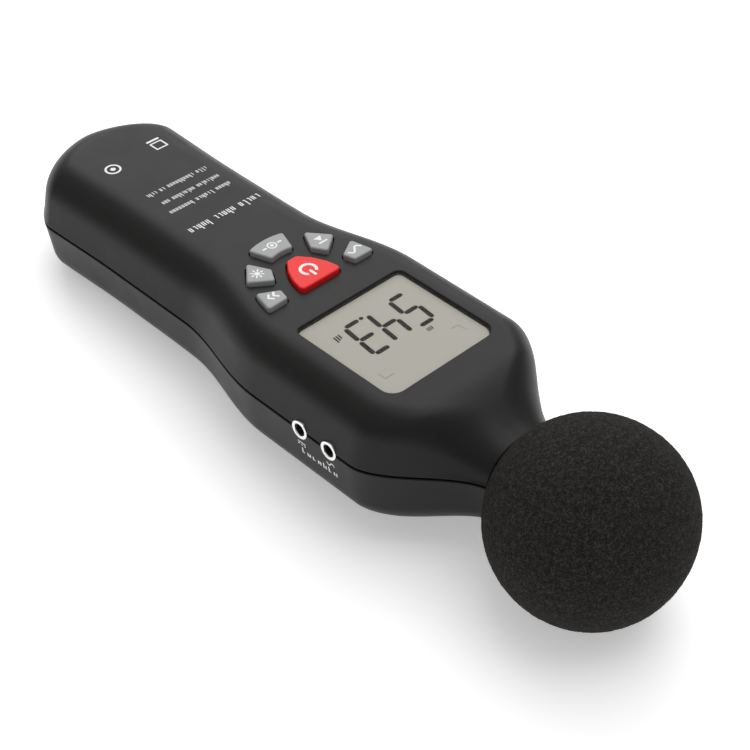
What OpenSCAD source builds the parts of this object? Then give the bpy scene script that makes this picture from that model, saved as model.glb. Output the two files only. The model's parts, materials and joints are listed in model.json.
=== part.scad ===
// Handheld sound level meter lying on its back.
// X runs across the case, +Y towards the microphone and +Z out of the display.
// The origin is the mouth of the tripod socket, on the flat back.

/* [Case] */
// Widest part of the case, at the rear edge of the display
head_w = 69.6; // [66:0.2:74]
// Width of the handle
handle_w = 57.4; // [55:0.2:60]
// Width at the waist between handle and head
waist_w = 55.4; // [53:0.2:58]
// Thickness from the flat back to the display face
case_t = 39; // [37.5:0.5:42]
// Height of the parting plane above the back
parting_z = 20.2; // [19.7:0.1:20.5]
// Rear end of the handle
rear_y = -114; // [-116:0.5:-113]
// Length of the rounded rear end
end_l = 21; // [18:1:24]
// Wall thickness of both shells
wall = 2; // [1.6:0.2:2.4]
// Radius of the front edges of the head
edge_r = 10.5; // [9:0.1:10.8]
// Radius of the front edges of the handle
handle_edge_r = 12; // [10:0.1:12.5]
// Radius of the rear edges of the head
back_r = 7.8; // [7:0.1:9]
// Radius of the rear edges of the handle
handle_back_r = 9.8; // [8:0.1:10]
// Inward lean of each side wall
draft = 1.4; // [1:0.1:1.6]

/* [Neck] */
// Front face of the neck, where the windscreen stops
neck_y = 90; // [88:0.2:90.4]
// Height of the microphone axis above the back
mic_z = 16.5; // [16.5:0.5:18]
// Diameter of the microphone barrel
mic_d = 12.7; // [12.5:0.1:13.2]

/* [Windscreen] */
// Diameter of the foam ball
ball_d = 58.8; // [57:0.2:62]
// Distance of the ball's centre from the origin
ball_y = 116; // [115:0.5:117]

/* [Display] */
// Width of the display window
window_w = 41.6; // [38:0.2:42]
// Length of the display window
window_l = 40; // [36:0.2:40]
// Rear edge of the display window
window_y = 20.2; // [19.5:0.1:21]
// Depth of the window below the face
window_drop = 0.5; // [0.4:0.1:0.6]

/* [Keys] */
// Centre of the fan of keys
fan_y = 3.5; // [2:0.5:4]
// Height of the key tops above the face
key_proud = 1.7; // [1.2:0.1:2]
// Travel of each key
key_travel = 1; // [0.6:0.1:1.2]
// Gap between a key and its hole
key_gap = 0.35; // [0.25:0.05:0.4]

/* [Output sockets] */
// Position of the rear socket
jack_y = 36.8; // [34:0.2:38]
// Distance between the two sockets
jack_pitch = 12.1; // [11:0.1:12.5]
// Outer diameter of the bright ring
ring_d = 6.2; // [5.8:0.1:6.6]
// Bore for the plug
plug_d = 3.6; // [3.55:0.05:3.7]

/* [Back] */
// Bore of the tripod insert
tripod_d = 6.35; // [6.3:0.05:6.4]
// Depth of the tripod insert
tripod_l = 8; // [6:0.5:9]
// Rear edge of the battery door
door_y = -102.5; // [-102.5:0.5:-102]
// Length of the battery door
door_l = 57.5; // [57:0.5:58]
// Width of the battery door
door_w = 34; // [32:1:36]

/* [Hidden] */
$fn = 48;

eps = 0.02;
fit_gap = 0.1;
face_z = case_t;
inner_z = face_z - wall;
neck_w = 27;

// Board and the stack that stands on it
board_z = 25.2;
board_t = 1.6;
board_top = board_z + board_t;
switch_h = 3.5;
plunger_top = board_top + switch_h + 0.8;
stem_r = 1.6;
flange_z = inner_z - fit_gap;
flange_t = 0.9;
flange_w = 0.8;
lens_t = 0.8;
lens_z = face_z - window_drop - lens_t;
lcd_plate_t = 1.2;
lcd_z = inner_z - fit_gap - lcd_plate_t;
lcd_top = lens_z - fit_gap;
diffuser_t = 2.6;
diffuser_z = lcd_z - fit_gap - diffuser_t;
holder_w = window_w + 6;
holder_y = [window_y - 3, window_y + window_l + 3];

// Battery bay: 6F22 cell 48.5 x 26.5 x 17.5 mm
cell = [26.5, 48.5, 17.5];
cell_y = -100.5;
cell_z = 3.4;
bay_wall = 1.5;
bay_gap = 0.5;
bay_x = cell[0] / 2 + bay_gap;
bay_y = [cell_y - bay_gap, -46.8];
bay_top = cell_z + cell[2] + bay_gap;
door_t = 2;
door_recess = 0.2;
door_gap = 0.3;
knuckle_r = (door_t - door_recess) / 2;
hinge_y = door_y + door_l - door_gap - knuckle_r;
hinge_z = door_recess + knuckle_r;
hinge_pin_r = 0.6;
hinge_pin_l = 1.4;

case_screws = [[15, -38], [-15, -38], [12.5, 67.5], [-12.5, 67.5]];
board_screws = [[26.3, 9], [-26.3, 9], [26.3, 56.5], [-26.3, 56.5]];
post_r = 2.9;
board_post_r = 2.1;
screw_r = 1.2;
head_r = 2.4;

// Smooth step from a to b while t goes from 0 to 1
function ease(a, b, t) = let (u = max(0, min(1, t))) a + (b - a) * u * u * (3 - 2 * u);

// Half width of the case on the parting plane, without its rounded rear end
function side_w(y) =
  y < -60 ? ease(handle_w, waist_w, (y + 100) / 40) / 2
  : y < 30 ? ease(waist_w, head_w, (y + 24) / 40) / 2
  : ease(head_w, neck_w, (y - 57) / 36) / 2;

// Superellipse of the rear end: 0 at the tip and 1 past the rounded length
end_n = 1.65;
function end_w(y) =
  let (u = max(0, rear_y + end_l - y) / end_l)
  pow(max(0, 1 - pow(u, end_n)), 1 / end_n);

function half_w(y) = side_w(y) * end_w(y);

// Height of the display face and of the back above and below the parting plane
function front_h(y) = ease(face_z - parting_z, mic_z - parting_z + half_w(neck_y), (y - 70) / 22);
function rear_h(y) = ease(parting_z, parting_z - mic_z + half_w(neck_y), (y - 66) / 24);

// Point k of the section at station y: k = 0 lies on the parting plane, k = 1 at the top of the
// leaning side wall, and the next ones follow the rounded edge, which is tangent to the wall. Each point keeps its distance from the outline all
// round the rear end, so the edge has one radius there too.
arc_steps = 6;
function skin(y, side, inset, k) =
  let (w = side_w(y) - inset,
       h = (side > 0 ? front_h(y) : rear_h(y)) - inset,
       t = (y + 40) / 50,
       edge = side > 0 ? ease(handle_edge_r, edge_r, t) : ease(handle_back_r, back_r, t),
       flat = w - draft * 1.3 - 0.5,
       r = max(0.6, min(edge - inset, flat, h - 0.3)),
       across = side > 0 ? ease(r, flat, (y - 70) / 14) : r,
       slope = draft / max(h - r, 5),
       start = atan(slope * r / across),
       foot = slope * (h - r + r * sin(start)) - across * (1 - cos(start)),
       a = start + (90 - start) * (k - 1) / arc_steps,
       d = k == 0 ? 0 : foot + across - across * cos(a),
       z = k == 0 ? 0 : h - r + r * sin(a),
       tail = 1 - min(1, (y - rear_y) / end_l))
  [(w - d) * end_w(y), y + (inset + d) * tail, parting_z + side * z];

// Up one side, across the face and down the other side
function half_ring(y, side, inset) = concat(
  [for (k = [0 : arc_steps + 1]) skin(y, side, inset, k)],
  [for (k = [arc_steps + 1 : -1 : 0]) let (p = skin(y, side, inset, k)) [-p[0], p[1], p[2]]]);

// Stations along the case: close together where it curves
stations = concat(
  [for (k = [1 : 7]) rear_y + end_l * (1 - cos(90 * k / 7.6))],
  [-92, -80, -60, -45],
  [for (y = [-28 : 5 : 17]) y],
  [36, 55],
  [for (y = [58 : 3 : 88]) y]);

// Solid between half rings; side is 1 for the front half and -1 for the rear
module half_solid(side, inset) {
  nose = neck_y + (inset > wall / 2 ? 1 : 0);
  ys = concat([rear_y + 0.1], stations, [nose]);
  rings = [for (y = ys) half_ring(y, side, inset)];
  n = len(rings[0]);
  m = len(rings);
  sides = [for (i = [0 : m - 2]) for (k = [0 : n - 1])
    let (a = i * n + k, b = i * n + (k + 1) % n) [a, b, b + n, a + n]];
  tail_cap = [for (k = [0 : n / 2 - 2]) [n - 1 - k, n - 2 - k, k + 1, k]];
  nose_cap = [for (k = [0 : n - 1]) (m - 1) * n + k];
  faces = concat(sides, tail_cap, [nose_cap]);
  polyhedron([for (r = rings) for (p = r) p],
    side > 0 ? faces : [for (f = faces) [for (k = [len(f) - 1 : -1 : 0]) f[k]]]);
}

// Outline with every corner rounded: r is one radius, or a list with one for each corner
function rounded(p, r) =
  [for (i = [0 : len(p) - 1])
    let (a = p[(i + len(p) - 1) % len(p)], b = p[i], c = p[(i + 1) % len(p)], ri = is_list(r) ? r[i] : r,
         u = (a - b) / norm(a - b), v = (c - b) / norm(c - b),
         half = acos(u * v) / 2, centre = b + (u + v) / norm(u + v) * ri / sin(half),
         s = b + u * ri / tan(half) - centre, e = b + v * ri / tan(half) - centre)
    for (k = [0 : 4])
      let (q = s * (4 - k) + e * k) centre + q / norm(q) * ri];

// Convex outline with every edge moved out by g
function grown(p, g) =
  [for (i = [0 : len(p) - 1])
    let (a = p[(i + len(p) - 1) % len(p)], b = p[i], c = p[(i + 1) % len(p)],
         u = (a - b) / norm(a - b), v = (c - b) / norm(c - b), half = acos(u * v) / 2)
    b - (u + v) / norm(u + v) * g / sin(half)];

function flipped(p) = [for (i = [len(p) - 1 : -1 : 0]) [-p[i][0], p[i][1]]];

// Key outlines about the centre of the fan
power_outline = [[8.1, 5.6], [7, 0.2], [5, -4.2], [1.9, -8.2], [-1.9, -8.2], [-5, -4.2], [-7, 0.2],
  [-8.1, 5.6]];
power_radii = [1.5, 8, 8, 1.6, 1.6, 8, 8, 1.5];
response_outline = [[12.3, 1.2], [19.1, -2.7], [21, 5.6], [13.4, 5.4]];
backlight_outline = [[7.8, -8.2], [11.5, -15.7], [17.4, -8.4], [10.6, -3.4]];
record_r = [12.9, 21.1];
record_half = 19;

function record_outline(g) =
  let (a0 = record_half + g * 57.3 / record_r[1], a1 = record_half + g * 57.3 / record_r[0])
  concat([for (k = [-3 : 3]) (record_r[1] + g) * [sin(k * a0 / 3), -cos(k * a0 / 3)]],
         [for (k = [3 : -1 : -3]) (record_r[0] - g) * [sin(k * a1 / 3), -cos(k * a1 / 3)]]);

function key_outline(key, g) =
  key == "power" ? rounded(grown(power_outline, g), [for (r = power_radii) r + g])
  : key == "record" ? record_outline(g)
  : key == "response" ? rounded(grown(response_outline, g), 0.9 + g)
  : key == "backlight" ? rounded(grown(backlight_outline, g), 0.9 + g)
  : key == "weighting" ? flipped(key_outline("response", g))
  : flipped(key_outline("backlight", g));

// Rounded window outline grown by g; the front corners are rounder
function window_outline(g) =
  let (w = window_w / 2 + g, y0 = window_y - g, y1 = window_y + window_l + g)
  rounded([[-w, y0], [w, y0], [w, y1], [-w, y1]], [2.2 + g, 2.2 + g, 4.2 + g, 4.2 + g]);

function mid(p) = [for (i = [0, 1]) (min([for (q = p) q[i]]) + max([for (q = p) q[i]])) / 2];
function key_mid(key) = mid(key_outline(key, 0)) + [0, fan_y];

module rounded_box(x, y, z, r) {
  translate([0, 0, z[0]])
    linear_extrude(z[1] - z[0])
      polygon(rounded([[x[0], y[0]], [x[1], y[0]], [x[1], y[1]], [x[0], y[1]]], r));
}

module box(x, y, z) {
  translate([x[0], y[0], z[0]])
    cube([x[1] - x[0], y[1] - y[0], z[1] - z[0]]);
}

module pin(p, r, z) {
  translate([p[0], p[1], z[0]])
    cylinder(r = r, h = z[1] - z[0]);
}

// Cylinder along X from x[0] to x[1]
module pin_x(y, z, r, x) {
  translate([x[0], y, z])
    rotate([0, 90, 0])
      cylinder(r = r, h = x[1] - x[0]);
}

// Cylinder along the microphone axis
module pin_y(r, y) {
  translate([0, y[0], mic_z])
    rotate([-90, 0, 0])
      cylinder(r = r, h = y[1] - y[0]);
}

module window_prism(g, z) {
  translate([0, 0, z[0]])
    linear_extrude(z[1] - z[0])
      polygon(window_outline(g));
}

module key_prism(key, g, z) {
  translate([0, fan_y, z[0]])
    linear_extrude(z[1] - z[0])
      polygon(key_outline(key, g));
}

collar_y = 80;
collar_r = 8.4;

module front_shell() {
  color("#242424")
  difference() {
    union() {
      difference() {
        half_solid(1, 0);
        half_solid(1, wall);
      }
      intersection() {
        half_solid(1, wall / 2);
        union() {
          for (p = case_screws)
            pin(p, post_r, [parting_z, face_z]);
          for (p = board_screws)
            pin(p, board_post_r, [board_top, face_z]);
          box([-neck_w, neck_w], [collar_y, neck_y], [parting_z, face_z]);
        }
      }
    }
    window_prism(0, [inner_z - 1, face_z + 1]);
    for (key = ["power", "record", "maximum", "backlight", "weighting", "response"])
      key_prism(key, key_gap, [inner_z - 1, face_z + 1]);
    for (i = [0, 1])
      pin_x(jack_y + i * jack_pitch, parting_z, ring_d / 2 + 0.05, [26, 40]);
    for (p = case_screws)
      pin(p, screw_r, [parting_z - 1, inner_z - 6]);
    for (p = board_screws)
      pin(p, 0.8, [board_top - 1, inner_z - 3]);
    pin_y(collar_r, [collar_y - 10, neck_y + 2]);
  }
}

module rear_shell() {
  color("#242424")
  difference() {
    union() {
      difference() {
        half_solid(-1, 0);
        half_solid(-1, wall);
      }
      intersection() {
        half_solid(-1, wall / 2);
        union() {
          for (p = case_screws)
            pin(p, post_r + 0.6, [0, parting_z]);
          pin([0, 0], 7, [0, tripod_l + 2]);
          box([-neck_w, neck_w], [collar_y, neck_y], [0, parting_z]);
        }
      }
      box([-bay_x - bay_wall, bay_x + bay_wall], [bay_y[0] - bay_wall, bay_y[1] + bay_wall],
        [wall / 2, bay_top + bay_wall]);
    }
    box([-bay_x, bay_x], bay_y, [-1, bay_top]);
    rounded_box([-door_w / 2, door_w / 2], [door_y, door_y + door_l], [-1, door_t + door_recess], 2);
    for (i = [0, 1])
      pin_x(jack_y + i * jack_pitch, parting_z, ring_d / 2 + 0.05, [26, 40]);
    for (p = case_screws) {
      pin(p, screw_r + 0.3, [-1, parting_z + 1]);
      pin(p, head_r + 0.2, [-1, 5]);
    }
    pin([0, 0], 4.8, [-1, tripod_l]);
    pin_y(collar_r, [collar_y - 10, neck_y + 2]);
    pin_x(hinge_y, hinge_z, hinge_pin_r + 0.05,
      [-door_w / 2 - hinge_pin_l, door_w / 2 + hinge_pin_l]);
    pin_x(hinge_y, hinge_z, knuckle_r + door_gap, [-door_w / 2, door_w / 2]);
  }
}

// Door flush in the back: a plate with grip grooves, a round hinge edge and two hinge pins
module battery_door() {
  half = door_w / 2 - door_gap;
  color("#262626")
  union() {
    difference() {
      rounded_box([-half, half], [door_y + door_gap, hinge_y + knuckle_r + 3],
        [door_recess, door_t], 1.8);
      box([-half - 1, half + 1], [hinge_y, hinge_y + 10], [-1, door_t + 1]);
      for (i = [0 : 4])
        box([-6, 6], [door_y + 6 + i * 2, door_y + 7 + i * 2], [-1, door_recess + 0.5]);
    }
    pin_x(hinge_y, hinge_z, knuckle_r, [-half, half]);
    pin_x(hinge_y, hinge_z, hinge_pin_r, [-half - hinge_pin_l, half + hinge_pin_l]);
  }
}

// Clear cover cemented in the mouth of the window
module display_lens() {
  color("#dcdccf", 0.35)
  window_prism(-0.15, [lens_z, lens_z + lens_t]);
}

// Rear glass wider than the window and a front glass that stands in it
module lcd_glass() {
  color("#b9b6a3")
  union() {
    box([-window_w / 2 - 1.4, window_w / 2 + 1.4], [window_y - 1.2, window_y + window_l + 1.6],
      [lcd_z, lcd_z + lcd_plate_t]);
    window_prism(-0.25, [lcd_z + lcd_plate_t - eps, lcd_top]);
  }
}

module backlight_diffuser() {
  color("#e8e8e2")
  box([-window_w / 2 - 1, window_w / 2 + 1], [window_y - 1, window_y + window_l - 2],
    [diffuser_z, diffuser_z + diffuser_t]);
}

module lcd_holder() {
  color("#d9d9d2")
  difference() {
    box([-holder_w / 2, holder_w / 2], holder_y, [board_top, lcd_z + 0.2]);
    box([-window_w / 2 - 1.6, window_w / 2 + 1.6], [window_y - 1.4, window_y + window_l + 1.8],
      [board_top - 1, inner_z + 1]);
  }
}

module elastomer_strip() {
  color("#3b5a7a")
  box([-19, 19], [window_y + window_l - 1.4, window_y + window_l + 1.2],
    [board_top, lcd_z]);
}

module main_board() {
  color("#1f5a36")
  difference() {
    translate([0, 0, board_z])
      linear_extrude(board_t)
        polygon(rounded([[-21, -33], [21, -33], [21, 0], [29, 6], [29, 63], [-29, 63], [-29, 6],
          [-21, 0]], 1.5));
    for (p = board_screws)
      pin(p, 1.1, [board_z - 1, board_top + 1]);
  }
}

module chip(p, size, pins) {
  z = board_z - 0.2;
  box([p[0] - size[0] / 2, p[0] + size[0] / 2], [p[1] - size[1] / 2, p[1] + size[1] / 2],
    [z - size[2], z]);
  for (i = [0 : pins - 1])
    for (s = [-1, 1])
      translate([p[0] - size[0] / 2 + (i + 0.5) * size[0] / pins - 0.2,
                 p[1] + s * (size[1] / 2 + 0.4) - 0.5, z - 0.6])
        cube([0.4, 1, 0.8]);
}

module main_chip() {
  color("#202022")
  chip([0, 30], [14, 14, 1.6], 12);
}

module amplifier_chip() {
  color("#202022")
  chip([0, 52], [8.6, 3.9, 1.5], 7);
}

module crystal_can() {
  color("silver")
  rounded_box([-15.5, -10.5], [14, 24.5], [board_z - 3.4, board_z], 2.4);
}

module calibration_trimmer() {
  color("#2c55a8")
  difference() {
    box([-24, -17.5], [40, 46.5], [board_z - 4, board_z]);
    box([-23, -18.5], [42.9, 43.6], [board_z - 5, board_z - 3.4]);
  }
}

module jack(i) {
  y = jack_y + i * jack_pitch;
  color("#1a1a1a")
  difference() {
    union() {
      box([19, 31], [y - 4, y + 4], [parting_z - 4, parting_z + 4]);
      pin_x(y, parting_z, 2.3, [31 - eps, 34.3]);
    }
    pin_x(y, parting_z, plug_d / 2, [20.5, 35]);
  }
}

module dc_jack() {
  jack(0);
}

module ac_jack() {
  jack(1);
}

module jack_ring(i) {
  y = jack_y + i * jack_pitch;
  color("#e6e6e6")
  difference() {
    pin_x(y, parting_z, ring_d / 2, [31.2, 35]);
    pin_x(y, parting_z, 2.35, [31, 36]);
  }
}

module dc_jack_ring() {
  jack_ring(0);
}

module ac_jack_ring() {
  jack_ring(1);
}

module microphone_barrel() {
  color("silver")
  difference() {
    pin_y(mic_d / 2, [collar_y - 6, 108]);
    pin_y(mic_d / 2 - 0.7, [collar_y - 7, 109]);
  }
}

module microphone_capsule() {
  color("#8c8c90")
  pin_y(mic_d / 2 - 0.75, [99, 107]);
}

module microphone_grille() {
  color("silver")
  difference() {
    pin_y(mic_d / 2, [108, 110.5]);
    pin_y(mic_d / 2 - 0.8, [107, 109.7]);
    for (k = [-2 : 2])
      box([k * 2 - 0.4, k * 2 + 0.4], [107, 112],
        [mic_z - 4.5 + abs(k) * 0.8, mic_z + 4.5 - abs(k) * 0.8]);
  }
}

module microphone_collar() {
  color("#1b1b1b")
  difference() {
    pin_y(collar_r, [collar_y, neck_y]);
    pin_y(mic_d / 2, [collar_y - 1, neck_y + 1]);
  }
}

// Foam ball with a flat seat against the neck and a blind bore for the microphone
module windscreen() {
  color("#2e2b2b")
  difference() {
    translate([0, ball_y, mic_z])
      rotate([-90, 0, 0])
        sphere(d = ball_d, $fn = 64);
    box([-ball_d, ball_d], [ball_y - ball_d, neck_y + 0.3], [mic_z - ball_d, mic_z + ball_d]);
    pin_y(mic_d / 2 + 0.3, [neck_y - 1, 113]);
  }
}

module tripod_insert() {
  color("#b08d45")
  difference() {
    pin([0, 0], 4.8, [0, tripod_l]);
    pin([0, 0], tripod_d / 2, [-1, tripod_l + 1]);
  }
}

module battery() {
  color("#b5b8bc")
  union() {
    rounded_box([-cell[0] / 2, cell[0] / 2], [cell_y, cell_y + cell[1] - 2.8],
      [cell_z, cell_z + cell[2]], 2);
    for (s = [-1, 1])
      translate([s * 6.35, cell_y + cell[1] - 2.8 - eps, cell_z + cell[2] / 2])
        rotate([-90, 0, 0])
          cylinder(r = s > 0 ? 2.9 : 3.8, h = 2.8);
  }
}

module battery_snap() {
  color("#1c1c1c")
  difference() {
    box([-12.8, 12.8], [cell_y + cell[1] - 2.7, cell_y + cell[1] + 1.5],
      [cell_z + 2.6, cell_z + cell[2] - 2.6]);
    for (s = [-1, 1])
      translate([s * 6.35, cell_y + cell[1] - 3, cell_z + cell[2] / 2])
        rotate([-90, 0, 0])
          cylinder(r = s > 0 ? 2.95 : 3.85, h = 3.1);
  }
}

module battery_pad() {
  color("#3a3a3a")
  box([-11, 11], [cell_y + 4, cell_y + 40], [door_t + 0.1, cell_z - 0.1]);
}

module key(name) {
  top = face_z + key_proud;
  color(name == "power" ? "#d8282c" : "#8f9194")
  union() {
    key_prism(name, 0, [flange_z - flange_t, top - 0.5]);
    key_prism(name, -0.5, [top - 0.5 - eps, top]);
    key_prism(name, flange_w, [flange_z - flange_t, flange_z]);
    pin(key_mid(name), stem_r, [plunger_top + key_travel + 0.3, flange_z - flange_t + eps]);
  }
}

module key_switch(name) {
  c = key_mid(name);
  color("#c9c9c9")
  union() {
    box([c[0] - 3, c[0] + 3], [c[1] - 3, c[1] + 3], [board_top, board_top + switch_h]);
    pin(c, 1.7, [board_top + switch_h - eps, plunger_top]);
  }
}

// Self-tapping screw driven up from the back, with a cross recess
module screw(p, head, shank, z) {
  color("#6d6f72")
  difference() {
    union() {
      pin(p, head, [z[0], z[0] + 1.6]);
      pin(p, shank, [z[0] + 1.6 - eps, z[1]]);
    }
    for (a = [0, 90])
      translate([p[0], p[1], z[0]])
        rotate([0, 0, a])
          cube([head * 1.2, 0.6, 1.6], center = true);
  }
}

module case_screw(i) {
  screw(case_screws[i], head_r, screw_r, [3.4, 26]);
}

module board_screw(i) {
  screw(board_screws[i], 1.9, 0.8, [board_z - 1.6, board_top + 6]);
}

front_shell();
rear_shell();
battery_door();
display_lens();
lcd_glass();
backlight_diffuser();
lcd_holder();
elastomer_strip();
main_board();
main_chip();
amplifier_chip();
crystal_can();
calibration_trimmer();
dc_jack();
ac_jack();
dc_jack_ring();
ac_jack_ring();
microphone_barrel();
microphone_capsule();
microphone_grille();
microphone_collar();
windscreen();
tripod_insert();
battery();
battery_snap();
battery_pad();
key("power");  // power_key
key("record");  // record_key
key("maximum");  // maximum_key
key("backlight");  // backlight_key
key("weighting");  // weighting_key
key("response");  // response_key
key_switch("power");  // power_switch
key_switch("record");  // record_switch
key_switch("maximum");  // maximum_switch
key_switch("backlight");  // backlight_switch
key_switch("weighting");  // weighting_switch
key_switch("response");  // response_switch
case_screw(0);  // case_screw_1
case_screw(1);  // case_screw_2
case_screw(2);  // case_screw_3
case_screw(3);  // case_screw_4
board_screw(0);  // board_screw_1
board_screw(1);  // board_screw_2
board_screw(2);  // board_screw_3
board_screw(3);  // board_screw_4
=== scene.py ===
"""Sound level meter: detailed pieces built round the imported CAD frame. Lengths are millimetres."""
import json
import math

import bmesh
import bpy
import numpy as np
from mathutils import Matrix, Vector, noise


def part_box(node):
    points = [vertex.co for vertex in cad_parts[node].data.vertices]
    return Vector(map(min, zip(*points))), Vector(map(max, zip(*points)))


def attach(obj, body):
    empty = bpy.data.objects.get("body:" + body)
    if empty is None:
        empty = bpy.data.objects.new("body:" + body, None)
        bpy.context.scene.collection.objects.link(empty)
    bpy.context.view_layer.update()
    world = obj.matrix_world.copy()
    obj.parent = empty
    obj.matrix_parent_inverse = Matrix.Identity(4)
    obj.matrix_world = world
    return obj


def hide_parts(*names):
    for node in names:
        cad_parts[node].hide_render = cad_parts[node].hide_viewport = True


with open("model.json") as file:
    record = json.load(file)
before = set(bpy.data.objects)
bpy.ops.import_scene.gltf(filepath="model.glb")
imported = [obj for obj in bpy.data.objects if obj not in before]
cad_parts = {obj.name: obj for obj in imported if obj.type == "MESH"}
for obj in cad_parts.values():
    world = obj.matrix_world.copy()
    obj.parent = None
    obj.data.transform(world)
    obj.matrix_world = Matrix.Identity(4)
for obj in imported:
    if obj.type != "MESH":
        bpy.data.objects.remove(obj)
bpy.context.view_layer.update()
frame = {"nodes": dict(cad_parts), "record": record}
NODES = frame["nodes"]
MM = 0.001


def node_box(name):
    low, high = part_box(name)
    return [c / MM for c in low], [c / MM for c in high]


# ---------------------------------------------------------------- sizes
FRONT_LOW, FRONT_HIGH = node_box("front_shell")
FACE_Z = FRONT_HIGH[2]
PARTING_Z = FRONT_LOW[2]
REAR_Y = round(FRONT_LOW[1], 0)
NECK_Y = FRONT_HIGH[1]
HEAD_W = 2 * FRONT_HIGH[0]
HANDLE_W = 57.4
WAIST_W = 55.4
NECK_W = 27
END_L = 21
END_N = 1.65
FRONT_R = 10.5
HANDLE_FRONT_R = 12
BACK_R = 7.8
HANDLE_BACK_R = 9.8
LEAN = 1.4
MIN_EDGE_RISE = 5
WALL = 2
MIC_LOW, MIC_HIGH = node_box("microphone_barrel")
MIC_R = MIC_HIGH[0]
MIC_Z = (MIC_LOW[2] + MIC_HIGH[2]) / 2
FOAM_HIGH = node_box("windscreen")[1]
BALL_R = FOAM_HIGH[0]
BALL_Y = FOAM_HIGH[1] - BALL_R
COLLAR_LOW, COLLAR_HIGH = node_box("microphone_collar")
COLLAR_R = COLLAR_HIGH[0]
COLLAR_Y = COLLAR_LOW[1]
LENS_LOW, LENS_HIGH = node_box("display_lens")
LENS_GAP = 0.15
WINDOW_X = LENS_HIGH[0] + LENS_GAP
WINDOW_Y = (LENS_LOW[1] - LENS_GAP, LENS_HIGH[1] + LENS_GAP)
LCD_LOW, LCD_HIGH = node_box("lcd_glass")
KEY_HIGH = node_box("power_key")[1]
KEY_SINK = 0.15
KEY_TOP = KEY_HIGH[2] - KEY_SINK
FAN_Y = 3.5
KEY_GAP = 0.35
KEY_NAMES = ["power", "record", "maximum", "backlight", "weighting", "response"]
RING_BOXES = {name: node_box(name + "_jack_ring") for name in ("dc", "ac")}
RING_R = (RING_BOXES["dc"][1][2] - RING_BOXES["dc"][0][2]) / 2
RING_GAP = 0.06
BAY_GAP = 0.5
BAY_WALL = 1.5
BAY_FRONT = -46.8
INSERT_R, INSERT_L = 4.8, 8
DOOR_HALF, DOOR_GAP, DOOR_R = 17, 0.3, 2
DOOR_LOW, DOOR_HIGH = node_box("battery_door")


# ---------------------------------------------------------------- materials
def material(name, colour, rough=0.5, metal=0.0, mottle=0.1, mottle_mm=7.0, grain_mm=0.35,
             bump=0.02, rough_vary=0.06, coat=0.0, alpha=1.0, sheen=0.0, specular=0.5):
    """Plastic or metal with slow colour variation, uneven roughness and a fine moulded grain."""
    made = bpy.data.materials.new(name)
    made.use_nodes = True
    nodes, links = made.node_tree.nodes, made.node_tree.links
    shader = nodes["Principled BSDF"]
    shader.inputs["Metallic"].default_value = metal
    shader.inputs["Coat Weight"].default_value = coat
    shader.inputs["Alpha"].default_value = alpha
    shader.inputs["Sheen Weight"].default_value = sheen
    shader.inputs["Specular IOR Level"].default_value = specular
    place = nodes.new("ShaderNodeTexCoord")

    def field(size_mm, detail):
        texture = nodes.new("ShaderNodeTexNoise")
        texture.inputs["Scale"].default_value = 1 / (size_mm * MM)
        texture.inputs["Detail"].default_value = detail
        links.new(place.outputs["Object"], texture.inputs["Vector"])
        return texture.outputs["Fac"]

    slow, fine = field(mottle_mm, 3), field(grain_mm, 2)
    shade = nodes.new("ShaderNodeMix")
    shade.data_type = "RGBA"
    low, high = [c * (1 - mottle) for c in colour], [min(1, c * (1 + mottle)) for c in colour]
    shade.inputs["A"].default_value = (*low, 1)
    shade.inputs["B"].default_value = (*high, 1)
    links.new(slow, shade.inputs["Factor"])
    links.new(shade.outputs["Result"], shader.inputs["Base Color"])
    spread = nodes.new("ShaderNodeMapRange")
    spread.inputs["From Min"].default_value = 0.3
    spread.inputs["From Max"].default_value = 0.7
    spread.inputs["To Min"].default_value = rough - rough_vary
    spread.inputs["To Max"].default_value = rough + rough_vary
    links.new(slow, spread.inputs["Value"])
    links.new(spread.outputs["Result"], shader.inputs["Roughness"])
    relief = nodes.new("ShaderNodeBump")
    relief.inputs["Strength"].default_value = 0.6
    relief.inputs["Distance"].default_value = bump * MM
    links.new(fine, relief.inputs["Height"])
    links.new(relief.outputs["Normal"], shader.inputs["Normal"])
    return made


def foam_material():
    """Open-cell foam: paler cell walls, with painted shade darkening the pores between them."""
    made = material("foam", (0.02, 0.018, 0.017), rough=0.95, rough_vary=0.03, bump=0.12)
    nodes, links = made.node_tree.nodes, made.node_tree.links
    shader = nodes["Principled BSDF"]
    shader.inputs["Specular IOR Level"].default_value = 0.1
    place = nodes["Texture Coordinate"]
    cells = nodes.new("ShaderNodeTexVoronoi")
    cells.inputs["Scale"].default_value = 1 / (0.52 * MM)
    links.new(place.outputs["Object"], cells.inputs["Vector"])
    grain = nodes.new("ShaderNodeTexNoise")
    grain.inputs["Scale"].default_value = 1 / (1.3 * MM)
    grain.inputs["Detail"].default_value = 4
    links.new(place.outputs["Object"], grain.inputs["Vector"])
    blend = nodes.new("ShaderNodeMath")
    blend.operation = "MULTIPLY"
    links.new(cells.outputs["Distance"], blend.inputs[0])
    links.new(grain.outputs["Fac"], blend.inputs[1])
    # Painted shade: the dark end of this ramp darkens the pore centres; the pale end is the foam's own colour
    pore_shade_ramp = nodes.new("ShaderNodeValToRGB")
    pore_shade_ramp.color_ramp.elements[0].position = 0.1
    pore_shade_ramp.color_ramp.elements[0].color = (0.0105, 0.01, 0.0092, 1)
    pore_shade_ramp.color_ramp.elements[1].position = 0.5
    pore_shade_ramp.color_ramp.elements[1].color = (0.044, 0.0415, 0.038, 1)
    links.new(blend.outputs["Value"], pore_shade_ramp.inputs["Fac"])
    links.new(pore_shade_ramp.outputs["Color"], shader.inputs["Base Color"])
    relief = next(n for n in nodes if n.type == "BUMP")
    links.new(cells.outputs["Distance"], relief.inputs["Height"])
    relief.inputs["Strength"].default_value = 0.8
    return made


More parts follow.
